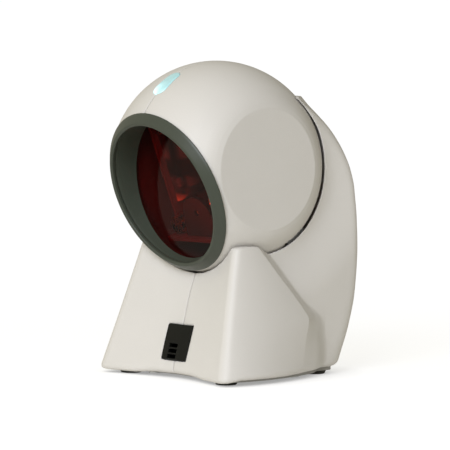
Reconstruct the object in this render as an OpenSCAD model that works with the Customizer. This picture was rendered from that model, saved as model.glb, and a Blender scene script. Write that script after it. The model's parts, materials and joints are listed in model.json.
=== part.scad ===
/* Upright hands-free scanner: a ball head that tilts in a flared base.
   Z = 0 is the counter, -Y is the side that looks at the goods, +X is the side
   of the parts named right. Lengths are in millimetres. */

/* [Overall] */
// Radius of the ball-shaped head
ball_r = 50.5; // [50:0.1:51]
// Angle the window looks below level at rest, degrees
look_down = 20.8; // [19:0.1:21.5]
// Angle the head tilts up from rest, degrees (drives the shell slots)
tilt_up = 30; // [24:1:32]
// Running gap between ball and cradle
cradle_gap = 1.0; // [0.7:0.1:1.2]

/* [Head] */
// Wall thickness of the head shells
head_wall = 2.3; // [2:0.1:2.6]
// Distance of the flat side discs from the middle
disc_x = 38.7; // [38.2:0.1:39.2]
// Radius of the flat side discs
disc_r = 28.6; // [27:0.1:29.5]
// Angle between the window pane and its ring, degrees
pane_lean = 11.5; // [10:0.1:14]
// Thickness of the window pane
pane_t = 1.6; // [1.2:0.1:2]

/* [Base] */
// Wall thickness of the base shells
base_wall = 2.4; // [2:0.1:2.8]
// Radius of the rubber feet
foot_r = 5.5; // [5:0.1:6]
// Distance between the two fixing holes underneath
fix_pitch = 50; // [48:1:52]
// Radius of the fixing holes (M3 thread core)
fix_r = 1.25; // [1.2:0.05:1.35]

/* [Tilt pivot] */
// Radius of the trunnions inside the head
trunnion_r = 5; // [4.5:0.1:5.2]
// Running clearance in the bushes
run_gap = 0.05; // [0.03:0.01:0.08]
// Direction of the yoke arms, degrees from the front by way of down
arm_deg = 126; // [124:1:128]

/* [Button] */
// Width of the button
btn_w = 18.5; // [17.5:0.1:19]
// Height of the button along its face
btn_h = 17.2; // [16.5:0.1:17.6]

/* [Hidden] */
NODES = ["base_shell_left", "base_shell_right", "base_plate", "rubber_feet", "base_screws",
  "fixing_inserts", "ballast_weight", "interface_board", "cable_socket", "speaker",
  "switch_board", "tilt_yoke", "yoke_screws", "pivot_bushes", "tilt_cable", "function_button",
  "head_shell_left", "head_shell_right", "window_ring", "scan_window", "lamp_lens", "lamp_board",
  "optical_bench", "bench_screws", "collecting_mirror", "laser_module", "fold_mirror",
  "detector_board", "left_mirror", "right_mirror", "rear_mirror", "motor_board", "motor_coils",
  "motor_bearing", "motor_shaft", "polygon_mirror", "main_board", "head_screws", "pivot_screws",
  "pivot_washers", "friction_washers", "head_cable"];
node = "all";
$fn = 72;

form_scale = ball_r / 50;        // the base form is drawn for a ball of radius 50
ball_y = -6.6;                   // puts the whole object's box over the origin
ball_z = 98.35 * form_scale;
cup_r = ball_r + cradle_gap;     // inside of the cradle
cup_wall = 2.2;
seam = 0.1;                      // half the seam between left and right shells
fit = 0.02;                      // assembly clearance
cable_r = 1.1;
pilot_r = 1.1;                   // pilot holes for the small head screws
thread_r = 1.28;                 // large screws
small_thread_r = 1.08;           // small screws

beige = [0.86, 0.85, 0.82];
ring_grey = [0.33, 0.37, 0.32];
black = [0.09, 0.09, 0.09];
board_green = [0.1, 0.35, 0.2];
steel = [0.75, 0.76, 0.78];
brass = [0.8, 0.65, 0.35];
silver = [0.85, 0.87, 0.9];
cable_black = [0.15, 0.15, 0.15];

// ---------------------------------------------------------------- helpers
module at_ball() translate([0, ball_y, ball_z]) children();
module in_head() at_ball() rotate([look_down, 0, 0]) children();
module on_arm() at_ball() rotate([arm_deg, 0, 0]) children();
// Frame of the leaning front panel: the origin is the middle of the button's face
module in_panel() at_ball() translate([0, -24.1 * form_scale, -81.3 * form_scale])
  rotate([-16.3, 0, 0]) children();
module both() {
  children();
  mirror([1, 0, 0]) children();
}
function both_sides(places) = [for (side = [-1, 1]) for (p = places) [side * p.x, p.y]];
module at_each(places, z) for (p = places) translate([p.x, p.y, z]) children();
// Box centred on x = 0, with its front lower edge at y, z
module mid_box(size, y, z) translate([-size.x / 2, y, z]) cube(size);
module x_cyl(r, x0, x1) translate([x0, 0, 0]) rotate([0, 90, 0]) cylinder(r = r, h = x1 - x0);
// Upright cylinder with a bore that starts 1 below it
module bored(r, h, bore_r, bore_h) difference() {
  cylinder(r = r, h = h);
  translate([0, 0, -1]) cylinder(r = bore_r, h = bore_h);
}
// Sector round the pivot axis; a0 and a1 are degrees from the front by way of down
module sector(r0, r1, x0, x1, a0, a1) rotate([0, 90, 0]) rotate([0, 0, a0 - 90])
  rotate_extrude(angle = a1 - a0) translate([r0, x0]) square([r1 - r0, x1 - x0]);
// Round cable through the points, with a slightly thicker ball at each bend
module rope(points, r, sides = 60) {
  for (i = [0:len(points) - 2]) let (d = points[i + 1] - points[i], length = norm(d))
    translate(points[i]) rotate([0, acos(d.z / length), atan2(d.y, d.x)])
      cylinder(r = r, h = length, $fn = sides);
  for (i = [1:len(points) - 2]) translate(points[i]) sphere(r = r + 0.15, $fn = sides);
}

// ---------------------------------------------------------------- base form
// Every figure of the form is for a ball of radius 50, measured from its centre.
skirt_top = -32.6;               // above this the tower alone is the outside
corner_z = -38.3;                // height at which the front corner's place is given

function ease(t) = let (u = min(1, max(0, t))) u * u * (3 - 2 * u);
// Lesser of two values, blended where they differ by less than width
function soft_min(p, q, width) = let (near = max(0, width - abs(p - q)) / width)
  min(p, q) - near * near * width / 4;

// Tables of [z, value]. First the front edge, in the middle
function front_y(z) = lookup(z, [[-98, -26.6], [-93.4, -26.2], [-81.4, -22.5], [-72.9, -19.8],
  [-63.4, -17.4], [-57.3, -15.6], [-49, -12.6], [-42.5, -10], [-33, -7]]);
// Front corner of the skirt
function corner_x(z) = 34.7 + 0.179 * (corner_z - z);
function corner_y(z) = -18.45 - 0.281 * (corner_z - z);
// Crease where the skirt meets the tower
function crease_x(z) = lookup(z, [[-98, 45], [-72, 42.8], [-63, 42], [-50, 39.8], [-38, 37.3],
  [-33, 36.2]]);
function crease_y(z) = lookup(z, [[-98, 15], [-80, 18.5], [-70, 21.8], [-63, 16.3], [-56, 10.8],
  [-50, 5.8], [-43, 0.6], [-38, -3.2], [-33, -7.2]]);
// Outward bulge of the skirt between corner and crease
function belly(z) = lookup(z, [[-98, 6], [-85, 4.8], [-70, 3.6], [-50, 2], [-38, 1.2], [-33, 0.8]]);
// Inward slope of the skirt behind the crease
function fall(z) = lookup(z, [[-98, 0.36], [-84, 0.38], [-72, 0.6], [-62, 0.8], [-33, 0.8]]);
// Superellipse that closes the rear: reach to the back, half width and power
function rear_y(z) = lookup(z, [[-98, 54.4], [-92, 55.2], [-80, 56.8], [-63, 58.1], [-40, 58.7],
  [-22, 58.6], [-8, 57.9], [0, 56.6], [10.8, 53.5], [17.8, 50.4], [23.3, 47.6], [28.2, 44.4],
  [32.9, 40.6], [35.2, 38.5]]);
function rear_half_w(z) = lookup(z, [[-98, 39.3], [-92, 40], [-80, 42], [-63, 44.5], [-40, 46],
  [-20, 45.5], [0, 42], [10.8, 40], [17.8, 39], [23.3, 38.6], [28.2, 39.4], [32.9, 39.5],
  [35.2, 38.2]]);
function rear_power(z) = lookup(z, [[-98, 3.7], [-92, 4], [-86, 4.4], [-80, 5], [-72, 6],
  [-60, 7.6], [-40, 9.5], [-10, 9], [0, 7], [10.8, 4.8], [17.8, 3.8], [23.3, 2.9], [28.2, 2.25],
  [32.9, 2], [35.2, 2]]);

function rear_x(y, z) = let (reach = min(1, max(0, y) / rear_y(z)), power = rear_power(z))
  rear_half_w(z) * pow(max(0, 1 - pow(reach, power)), 1 / power);
// Dished sides of the tower, round the pivot axis
function dish_x(y, z) = (32 + 4.4 * ease((norm([y, z]) - 41) / 27))
  * (1 - 0.1 * ease((-45 - z) / 55));
// Tower side, wider at its foot
function tower_x(y, z) = soft_min(rear_x(y, z), dish_x(y, z), 3)
  + 3 * ease((-62 - z) / 16) * min(1.2, max(0, (38 - y) / 24));
// Flared skirt, from the front corner past the crease
function skirt_x(y, z) = let (
    start = corner_y(z),
    behind = max(0, y - crease_y(z)),
    t = min(1, max(0, (y - start) / (crease_y(z) - start))),
    bulge = pow(t, 0.75))
  corner_x(z) + (crease_x(z) - corner_x(z)) * t + belly(z) * 4 * bulge * (1 - bulge)
  - fall(z) * behind - 0.03 * pow(max(0, y - crease_y(z) - 10), 2);
// The tower's foot fades out in front of the crease, where the skirt alone is the outside
function side_x(y, z) = z > skirt_top ? tower_x(y, z)
  : max(skirt_x(y, z), tower_x(y, z) - 14 * ease((crease_y(z) - y) / 14));
// Height of the lower edge over the lowest points, which are the two front corners
function foot_lift(x, y) = let (side = max(ease((abs(x) - 38) / 8), ease((y + 10) / 15)))
  (1 - side) * 0.9 * (1 - ease((abs(x) - 12) / 16))
  + side * (1.5 * ease((y + 35) / 12) + 0.6 * ease(y / 30));

front_steps = 5;
skirt_steps = 7;
tower_steps = 9;
rear_steps = 6;
corner_cut = 2.2;                // how far the front and side runs stop short of the corner
rear_share = 0.8;                // part of the rear reach at which the rear curve starts

function side_run(y0, y1, steps, z) =
  [for (i = [0:steps - 1]) let (y = y0 + (y1 - y0) * i / steps) [side_x(y, z), y]];
// Half of a level cut through the base, from the front middle to the rear middle
function half_outline(z) = let (
    tower_only = z > skirt_top,
    corner = tower_only ? [31, 2] : [corner_x(z), corner_y(z)],
    front = tower_only ? 2 : front_y(z),
    crease = tower_only ? 6 : crease_y(z),
    rear_start = rear_share * rear_y(z),
    power = rear_power(z),
    angle = asin(pow(rear_share, power / 2)))
  concat(
    [for (i = [0:front_steps]) let (x = (corner.x - corner_cut) * i / front_steps)
      [x, front + (corner.y + 0.3 - front) * pow(x / corner.x, 1.4)]],
    [[corner.x - 0.35, corner.y + 0.35]],
    side_run(corner.y + corner_cut, crease, skirt_steps, z),
    side_run(crease, rear_start, tower_steps, z),
    [for (i = [0:rear_steps]) let (
        turn = angle + (90 - angle) * i / rear_steps,
        y = rear_y(z) * pow(sin(turn), 2 / power))
      [i == rear_steps ? 0 : side_x(y, z), y]]);

// The same outline moved inwards by depth
function inset(outline, depth) = let (last = len(outline) - 1)
  [for (i = [0:last]) let (
      p = outline[i],
      d = outline[min(last, i + 1)] - outline[max(0, i - 1)],
      length = max(0.001, norm(d)))
    [i == 0 || i == last ? 0 : max(0, p.x - depth * d.y / length),
     p.y + depth * (i == 0 ? 1 : i == last ? -1 : d.x / length)]];
// Inset for the inside of the wall: square rear corner, so that it never folds over itself
function inner_outline(outline, depth) = let (
    moved = inset(outline, depth),
    last = len(outline) - 1,
    rear = moved[last].y)
  [for (i = [0:last])
    i == last ? moved[i]
    : i == last - 1 ? [0.6 * moved[last - 2].x, rear]
    : [moved[i].x, min(moved[i].y, rear - 0.05)]];

// Right-hand half of a loft through rows [z, outline, whether foot_lift applies];
// flat_x is its flat inner face
module half_loft(rows, flat_x) {
  count = len(rows[0][1]);
  top = len(rows) - 1;
  low_tip = (top + 1) * count;   // index of the point that closes the bottom
  points = concat(
    [for (row = rows) for (p = row[1])
      [max(flat_x, p.x), p.y, row[0] + (row[2] ? foot_lift(p.x, p.y) : 0)] * form_scale],
    [[14, 20, rows[0][0] + 0.25] * form_scale, [14, 22, rows[top][0]] * form_scale]);
  faces = concat(
    [for (j = [0:top - 1]) for (i = [0:count - 1])
      let (a = j * count + i, b = j * count + (i + 1) % count)
      for (face = [[a, a + count, b], [b, a + count, b + count]]) face],
    [for (i = [0:count - 1]) [i, (i + 1) % count, low_tip]],
    [for (i = [0:count - 1])
      [top * count + (i + 1) % count, top * count + i, low_tip + 1]]);
  polyhedron(points, faces, convexity = 8);
}

// Heights of the level cuts, outside and inside
OUTER_Z = [-96.2, -94.9, -91.6, -86, -80, -74, -69, -64, -60, -56, -52, -48, -44, -40.5, -37.5,
  -35, -32.7, -32.5, -25, -16, -8, 0, 7, 13, 18, 22.5, 26.5, 30, 32.2, 33.8];
INNER_Z = [-93.5, -86, -74, -64, -56, -48, -40.5, -35, -32.5, -22, -12, -3, 5];
// The two lowest cuts are drawn in, which rounds the lower edge
module base_half_solid() half_loft(concat(
  [[-97.1, inset(half_outline(-97.1), 1.5), true]],
  [for (z = OUTER_Z)
    [z, z < -96 ? inset(half_outline(z), 0.5) : half_outline(z), z < -94]]), seam / form_scale);
module base_half_hollow() half_loft(concat(
  [[-99, inner_outline(half_outline(-96.5), base_wall), false]],
  [for (z = INNER_Z) [z, inner_outline(half_outline(z), base_wall), false]]), -0.6);

// ---------------------------------------------------------------- base shells
BOSSES = [[20, -28], [36.5, 10]];  // right-hand shell bosses for the base screws
boss_z = 4.5;
boss_h = 12;
rib_t = 2.4;                     // ribs that tie the bosses to the wall
slot_x0 = 24.8;                  // slots for the yoke arms, in base and head
slot_x1 = 31.3;
slot_half = 7.6;

module boss_and_ribs() {
  at_each(BOSSES, boss_z) cylinder(r = 4, h = boss_h, $fn = 32);
  translate([BOSSES[0].x - rib_t / 2, BOSSES[0].y - 10, boss_z]) cube([rib_t, 8, boss_h]);
  translate([BOSSES[1].x + 2, BOSSES[1].y - rib_t / 2, boss_z]) cube([10, rib_t, boss_h]);
}
// One freeform skin: resize() with zeros keeps the size and gives it as a single mesh
module base_half() resize([0, 0, 0]) {
  difference() {
    union() {
      difference() {
        at_ball() base_half_solid();
        difference() {
          at_ball() base_half_hollow();
          at_ball() sphere(r = cup_r + cup_wall, $fn = 48);
        }
      }
      intersection() {
        boss_and_ribs();
        at_ball() base_half_solid();
      }
    }
    at_ball() sphere(r = cup_r, $fn = 80);
    at_each(BOSSES, 3) cylinder(r = 1.3, h = 11, $fn = 32);
    // slot for the yoke arm
    on_arm() translate([slot_x0, -62, -slot_half])
      cube([slot_x1 - slot_x0, 40, 2 * slot_half]);
    // window for the button
    in_panel() mid_box([btn_w + 0.5, 16, btn_h + 0.5], -6, -btn_h / 2 - 0.25);
    // opening for the plug
    mid_box([13.2, 20, 8.6], 40, 18.6);
  }
}
module base_shell_right() color(beige) base_half();
module base_shell_left() color(beige) mirror([1, 0, 0]) base_half();

// ---------------------------------------------------------------- base parts
FEET = both_sides([[36.2, -30], [24, 34.5]]);
FIXINGS = both_sides([[fix_pitch / 2, 4]]);
YOKE_HOLES = both_sides([[23.6, 14.5], [23.6, 24.5]]);
POSTS = both_sides([[14, 33.5], [14, 42]]);  // under the interface board
plate_z = 1.9;                   // underside of the floor plate
plate_t = 2.5;
plate_top = plate_z + plate_t;
insert_r = 2.6;

// Clearance hole through the floor plate, with a recess for the head from below
module screw_hole(head_r) {
  cylinder(r = 1.7, h = 8);
  cylinder(r = head_r, h = plate_z + 1.2);
}
// Hexagon-socket screw put in from below
module floor_screws(places, length, head_r) {
  head_h = 2.1 - fit;
  color(steel) at_each(places, plate_z - 0.9 + fit) difference() {
    union() {
      cylinder(r = head_r, h = head_h);
      cylinder(r = thread_r, h = length + head_h);
    }
    translate([0, 0, -1]) cylinder(r = 1.1, h = 1.8, $fn = 6);
  }
}
module base_plate() color([0.5, 0.49, 0.47]) {
  right = inner_outline(half_outline(-94.6), base_wall + 0.45);
  left = [for (i = [len(right) - 2:-1:1]) [-right[i].x, right[i].y]];
  difference() {
    union() {
      translate([0, ball_y, plate_z]) linear_extrude(plate_t) scale(form_scale)
        polygon(concat(right, left));
      at_each(FIXINGS, plate_z + 1) cylinder(r = 4.6, h = 6.6);
      at_each(POSTS, plate_z + 1) cylinder(r = 2.6, h = 10);
    }
    at_each(FEET, plate_z - 1) cylinder(r = foot_r + 0.05, h = 1.8);
    at_each(both_sides(BOSSES), 0) screw_hole(3.4);
    at_each(FIXINGS, 0) cylinder(r = insert_r + fit, h = 20);
    at_each(YOKE_HOLES, 0) screw_hole(3.2);
    at_each(POSTS, 5) cylinder(r = 0.9, h = 10);
  }
}
module rubber_feet() color([0.1, 0.1, 0.1]) at_each(FEET, 0)
  cylinder(r1 = foot_r - 0.6, r2 = foot_r, h = plate_z + 0.8 - fit);
module base_screws() floor_screws(both_sides(BOSSES), 9, 3.0);
module fixing_inserts() color(brass) at_each(FIXINGS, plate_z) bored(insert_r, 7, fix_r, 10);
module ballast_weight() color([0.5, 0.5, 0.52]) difference() {
  mid_box([38, 38, 9], -12, plate_top + fit);
  at_each(both_sides([[12, 7]]), 0) cylinder(r = 2, h = 30);
}
module interface_board() color(board_green) difference() {
  union() {
    mid_box([38, 16, 1.6], 30.5, 12.95);
    translate([-17.5, 35.8, 14.5]) cube([8.5, 4, 2.05]);
    translate([9.5, 36, 14.5]) cube([6, 4, 3]);
  }
  at_each(POSTS, 5) cylinder(r = 1.3, h = 9.5);
}
// Block with a stepped opening to the rear
module cable_socket() color([0.12, 0.12, 0.12]) difference() {
  mid_box([16, 13.4, 14], 34.2, 14.58);
  mid_box([12, 15, 7], 36.2, 19.2);
  mid_box([6.6, 15, 4], 38, 17.2);
}

// ---------------------------------------------------------------- front panel
grille_x = -1.6;                 // middle of the sound slots and the speaker
slot_count = 3;
slot_pitch = 2.65;
slot_size = [6.4, 6, 1.9];

module speaker() color([0.2, 0.2, 0.22]) in_panel()
  translate([grille_x, 9.4, -2.2]) rotate([-90, 0, 0]) bored(6.2, 4.5, 5.2, 2);
// Board with the switch and its plunger in front and two blocks behind
module switch_board() color(board_green) in_panel() {
  mid_box([17, 1.4, 18.8], 14, -8.82);
  mid_box([6, 3.85, 4], 10.2, 4.2);
  translate([0, 8.6, 6.2]) rotate([-90, 0, 0]) cylinder(r = 1.2, h = 2);
  for (side = [-1, 1]) translate([side * 6.4, 0, 0]) mid_box([1.8, 3, 2.4], 15.3, -6.6);
}
// Black button with the sound slots in its lower half
module function_button() color(black) in_panel() difference() {
  union() {
    mid_box([btn_w, 1.6, btn_h], 0, -btn_h / 2);
    mid_box([btn_w - 1.2, 6.6, btn_h - 1.2], 1, -btn_h / 2 + 0.6);
  }
  mid_box([btn_w - 4, 8, 9], 1.6, -btn_h / 2 + 2);
  for (i = [0:slot_count - 1]) translate([grille_x, 0, -1.7 - slot_pitch * i])
    mid_box(slot_size, -1, -slot_size.z / 2);
}

// ---------------------------------------------------------------- tilt pivot
arm_x0 = 27.6;                   // inner and outer face of the yoke arms
arm_x1 = 30.6;
arm_w = 12;
eye_r = 10;
bush_r = 7.4;
flange_x = 20;                   // inner edge of the yoke's feet
tilt_cable_x = -26.2;

// Eye, arm and the leg down to the floor plate, drawn in y and z
module yoke_outline() union() {
  translate([ball_y, ball_z]) circle(r = eye_r);
  translate([ball_y, ball_z]) rotate(180 + arm_deg) translate([0, -arm_w / 2])
    square([58, arm_w]);
  translate([ball_y + 27, plate_top + fit]) square([13, ball_z - 46 - plate_top]);
}
module tilt_yoke() color([0.42, 0.43, 0.45]) difference() {
  union() {
    both() {
      translate([arm_x0, 0, 0]) rotate([90, 0, 90]) linear_extrude(arm_x1 - arm_x0)
        offset(delta = 0) yoke_outline();
      // flange that takes the screws
      translate([flange_x, 9.5, plate_top + fit]) cube([arm_x1 - flange_x, 20, 2.4]);
    }
    // cross plate behind the cradle
    mid_box([2 * arm_x1, 3, 12], ball_y + 36.5, ball_z - 62);
  }
  both() at_ball() x_cyl(bush_r + fit, arm_x0 - 1, arm_x1 + 1);
  at_each(YOKE_HOLES, 0) cylinder(r = 1.3, h = 20);
}
module yoke_screws() floor_screws(YOKE_HOLES, 4.6, 2.9);
module pivot_bushes() color([0.92, 0.9, 0.85]) both() at_ball() difference() {
  union() {
    x_cyl(bush_r, arm_x0, arm_x1 + 0.5);
    x_cyl(9, arm_x1 + fit, arm_x1 + 1);
  }
  x_cyl(trunnion_r + run_gap, arm_x0 - 1, arm_x1 + 2);
}
// Point on the arm's middle line, r from the pivot axis
function arm_point(r, x) = [x, ball_y - r * cos(arm_deg), ball_z - r * sin(arm_deg)];
// Along the arm, down, and across to the interface board
module tilt_cable() color(cable_black) resize([0, 0, 0])
  rope([arm_point(11, tilt_cable_x), arm_point(53, tilt_cable_x),
    [tilt_cable_x, arm_point(53, 0).y, 23], [-13.2, 37.8, 19.4], [-13.2, 37.8, 16.7]],
    cable_r, 28);

// ---------------------------------------------------------------- head shells
front_y_flat = -31.3 / 50.5 * ball_r;  // where the ring meets the shells
lamp_deg = 74.5;                 // middle of the lamp, degrees above the window axis
head_screw_r = 43;               // shell screws: distance from the pivot axis
HEAD_SCREW_DEG = [158, 180, 202];  // and degrees from the front by way of down
BENCH_HOLES = [[9.5, -8], [14, 22]];  // right-hand screws of the optical bench
slot_margin = 11.5;              // extra length of the shell slot at each end, degrees
trunnion_x = 27.1;               // inner end of the trunnions
washer_x = 26.3;                 // inner face of the pivot washers
// Edge of the side discs: [beyond disc_r, in from disc_x]
DISC_EDGE = [[0, 0], [2.4, 0.85], [4.6, 1.95], [6.6, 3.2], [12, 7.5]];

module at_head_screws() for (angle = HEAD_SCREW_DEG)
  rotate([angle, 0, 0]) translate([0, -head_screw_r, 0]) children();
// Ball with a flat disc on either side
module ball_form() {
  half = concat([[0, disc_x]], [for (p = DISC_EDGE) [disc_r + p.x, disc_x - p.y]],
    [[60, disc_x - 26]]);
  intersection() {
    sphere(r = ball_r, $fn = 120);
    rotate([0, 90, 0]) rotate_extrude($fn = 120) polygon(concat(
      [for (p = half) [p.x, -p.y]], [for (i = [len(half) - 1:-1:0]) half[i]]));
  }
}
// Keyhole-like outline of the lamp, wider at its rear end, grown by gap
module lamp_cut(gap) rotate([-lamp_deg, 0, 0]) rotate([90, 0, 0]) translate([0, 0, ball_r - 9]) {
  translate([0, 4.2, 0]) cylinder(r = 3.7 + gap, h = 12);
  translate([0, -4.4, 0]) cylinder(r = 4.1 + gap, h = 12);
  linear_extrude(12) polygon([[-3.68 - gap, 4.3], [3.68 + gap, 4.3],
    [4.08 + gap, -4.3], [-4.08 - gap, -4.3]]);
}
module head_hollow() intersection() {
  sphere(r = ball_r - head_wall, $fn = 120);
  translate([-disc_x + head_wall, -60, -60]) cube([2 * (disc_x - head_wall), 120, 120]);
}
module head_half() {
  slot_deg = arm_deg - look_down;
  difference() {
    union() {
      difference() {
        ball_form();
        head_hollow();
      }
      intersection() {
        union() {
          x_cyl(9, 32.5, disc_x - 1);
          at_each(BENCH_HOLES, -60) cylinder(r = 3.4, h = 60 + bench_z - fit);
          at_head_screws() x_cyl(3.2, 0, 32);
        }
        ball_form();
      }
      x_cyl(trunnion_r, trunnion_x, 34);
    }
    x_cyl(1.3, 20, 34.5);                                     // pilot for the pivot screw
    mid_box([140, 70, 140], -70 + front_y_flat, -70);         // flat front
    translate([-70, -70, -70]) cube([70 + seam, 140, 140]);   // other half
    lamp_cut(0.06);
    sector(33, 60, slot_x0, slot_x1, slot_deg - slot_margin, slot_deg + tilt_up + slot_margin);
    at_each(BENCH_HOLES, -42) cylinder(r = pilot_r, h = 14);
  }
}
module head_shell_right() color(beige) in_head() difference() {
  head_half();
  at_head_screws() x_cyl(pilot_r, -1, 14);
}
module head_shell_left() color(beige) in_head() mirror([1, 0, 0]) difference() {
  head_half();
  at_head_screws() {
    x_cyl(1.5, -1, 60);
    x_cyl(2.5, 6, 60);
  }
}

// ---------------------------------------------------------------- window and lamp
// Section of the ring: [radius, distance in front of the ball's centre]
RING = [[40.1, 31.75], [39.9, 31.4], [36.3, 31.4], [36.3, 4], [34.2, 4], [34.6, 33],
  [35.1, 34.9], [35.5, 35.45], [36.1, 35.5], [36.7, 35.1], [39.6, 32.5]];

// All that lies more than depth behind the pane's front face
module behind_pane(depth) translate([0, -22.3, 0]) rotate([-pane_lean, 0, 0])
  mid_box([120, 120, 120], depth, -60);
module pane_bar(r, depth) intersection() {
  rotate([90, 0, 0]) cylinder(r = r, h = 60, $fn = 144);
  behind_pane(depth);
}
module window_ring() color(ring_grey) in_head() difference() {
  rotate([90, 0, 0]) rotate_extrude($fn = 144) polygon(RING);
  behind_pane(pane_t + 0.2);
  pane_bar(35.3, 0);
}
module scan_window() color([0.45, 0.05, 0.05, 0.6]) in_head() difference() {
  pane_bar(35.25, fit);
  behind_pane(pane_t);
}
module lamp_lens() color([0.72, 0.93, 0.96]) in_head() intersection() {
  lamp_cut(0);
  difference() {
    sphere(r = ball_r + 0.25, $fn = 120);
    sphere(r = ball_r - head_wall - 1, $fn = 120);
  }
}
// Board under the lens, with two round lamps
module lamp_board() color(board_green) in_head()
  rotate([-lamp_deg, 0, 0]) translate([0, -ball_r + 8.2, 0]) {
    mid_box([12, 1.2, 16], 0, -8);
    for (z = [-4, 3.4]) translate([0, 0.1, z]) rotate([90, 0, 0]) cylinder(r = 1.5, h = 2.6);
  }

// ---------------------------------------------------------------- optics
bench_w = 48.8;
bench_wall = 1.5;
bench_inner_x = bench_w / 2 - bench_wall;
bench_z = -30;                   // underside of the bench floor
bench_floor_t = 2;
bench_top = bench_z + bench_floor_t;
bench_back_y = 26.5;             // front face of the back wall
on_bench = bench_top + fit;      // where parts stand on the floor
mirror_t = 1.4;
motor_y = 8;

// Chassis that carries all the optics: floor, two side walls and a back wall
module optical_bench() color([0.12, 0.12, 0.13]) in_head() difference() {
  intersection() {
    union() {
      mid_box([bench_w, 51, bench_floor_t], -21.5, bench_z);
      both() translate([bench_inner_x, -14, bench_top - 1]) cube([bench_wall, 42, 57]);
      mid_box([bench_w, 1.8, 55], bench_back_y, bench_top - 1);
      // lugs behind the back wall
      both() translate([8, 28, 2]) cube([3, 2.08, 3]);
    }
    sphere(r = 46.8);
    behind_pane(pane_t + 0.9);
  }
  at_each(both_sides(BENCH_HOLES), -40) cylinder(r = 1.4, h = 20);
  translate([0, motor_y, -40]) cylinder(r = 4.2, h = 20);
}
module bench_screws() color(steel) in_head()
  at_each(both_sides(BENCH_HOLES), on_bench) difference() {
    union() {
      cylinder(r = 2.3, h = 1.5);
      translate([0, 0, -9]) cylinder(r = small_thread_r, h = 9.5);
    }
    translate([0, 0, 0.6]) cylinder(r = 0.9, h = 2, $fn = 6);
  }
// Round plate on a foot, with a hollow spherical rear face and a hole for the beam
module collecting_mirror() color([0.3, 0.3, 0.32]) in_head() difference() {
  translate([0, -16.4, 0]) rotate([90, 0, 0]) linear_extrude(2.6) intersection() {
    union() {
      polygon([[-12, on_bench], [12, on_bench], [10.6, -18], [-10.6, -18]]);
      translate([0, -18.6]) circle(r = 10.6);
    }
    translate([-13, on_bench]) square([26, 24]);
  }
  translate([0, 26, -16]) sphere(r = 43.4, $fn = 180);
  translate([0, -12, -16]) rotate([90, 0, 0]) cylinder(r = 1.6, h = 10);
}
laser_x = -17.5;                 // the fold mirror stands behind the laser
module laser_module() color([0.8, 0.66, 0.36]) in_head()
  translate([laser_x, -19.5, -22.6]) rotate([-90, 0, 0]) difference() {
    union() {
      cylinder(r = 4.2, h = 14);
      mid_box([9.2, 6.35, 7], -1, 3);
      translate([0, 0, 13]) cylinder(r = 3, h = 3);
    }
    translate([0, 0, 14.5]) cylinder(r = 1, h = 3);
  }
module fold_mirror() color(silver) in_head()
  translate([laser_x, 1, on_bench]) rotate([0, 0, -40]) mid_box([7, mirror_t, 9], -mirror_t / 2, 0);
module detector_board() color(board_green) in_head() {
  translate([14.3, -12, on_bench]) cube([7, 1.4, 17]);
  translate([16.3, -10.7, -20]) cube([4, 1.4, 4]);
}
module side_mirror(x) color(silver) in_head() translate([x, -12, -14]) cube([mirror_t, 34, 36]);
module left_mirror() side_mirror(-bench_inner_x + fit);
module right_mirror() side_mirror(bench_inner_x - mirror_t - fit);
module rear_mirror() color(silver) in_head()
  mid_box([36, 1.6 - fit, 30], bench_back_y - 1.6, -8);

// ---------------------------------------------------------------- motor
module at_motor(z) in_head() translate([0, motor_y, z]) children();
module motor_board() color(board_green) in_head() difference() {
  mid_box([23, 24, 1.2], -4, on_bench);
  translate([0, motor_y, -40]) cylinder(r = 3.6, h = 20);
}
module motor_coils() color([0.72, 0.4, 0.2]) at_motor(-26.75) bored(9.4, 4.2, 4, 7);
module motor_bearing() color(brass) at_motor(-27.9) bored(3.5, 6.6, 1.55, 9);
module motor_shaft() color([0.8, 0.8, 0.82]) at_motor(-27.5) cylinder(r = 1.5, h = 17);
// Eight-sided mirror on a round cup that covers the coils
module polygon_mirror() color([0.88, 0.9, 0.93]) at_motor(0) difference() {
  union() {
    translate([0, 0, -20.6]) rotate([0, 0, 22.5]) cylinder(r = 15, h = 8, $fn = 8);
    translate([0, 0, -25]) cylinder(r = 12.4, h = 5);
  }
  translate([0, 0, -26]) cylinder(r = 10.2, h = 5.2);
  translate([0, 0, -30]) cylinder(r = 1.52, h = 30);
}

// ---------------------------------------------------------------- other head parts
module main_board() color(board_green) in_head() {
  mid_box([38, 1.6, 35], 30.1, -17);
  translate([-8, 31.6, -7]) cube([14, 1.4, 14]);
  translate([-16, 31.6, 4]) cube([5, 4, 7.5]);
  translate([9, 31.6, -12]) cube([7, 3, 5]);
}
// Put in from the left, through the left shell into the right one
module head_screws() color(steel) in_head() mirror([1, 0, 0]) at_head_screws() difference() {
  union() {
    x_cyl(2.3, 6 + fit, 7.6);
    x_cyl(small_thread_r, -9, 7);
  }
  x_cyl(0.9, 6.8, 9);
}
module pivot_screws() color(steel) both() in_head() difference() {
  union() {
    x_cyl(3.4, 25, washer_x - fit);
    x_cyl(thread_r, 26, 33.5);
  }
  x_cyl(1.2, 24, 25.7, $fn = 6);
}
module pivot_washers() color([0.7, 0.7, 0.72]) both() in_head() difference() {
  x_cyl(8.2, washer_x, trunnion_x - fit);
  x_cyl(1.4, 25, 29);
}
module friction_washers() color([0.55, 0.55, 0.58]) both() in_head() difference() {
  x_cyl(8.6, 31.7, 32.4);
  x_cyl(5.2, 31, 33);
}
module head_cable() color(cable_black) in_head()
  rope([[-26, 11, 4], [-26, 29, 6], [-17, 37, 8], [-13.5, 37, 8]], cable_r);

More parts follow.
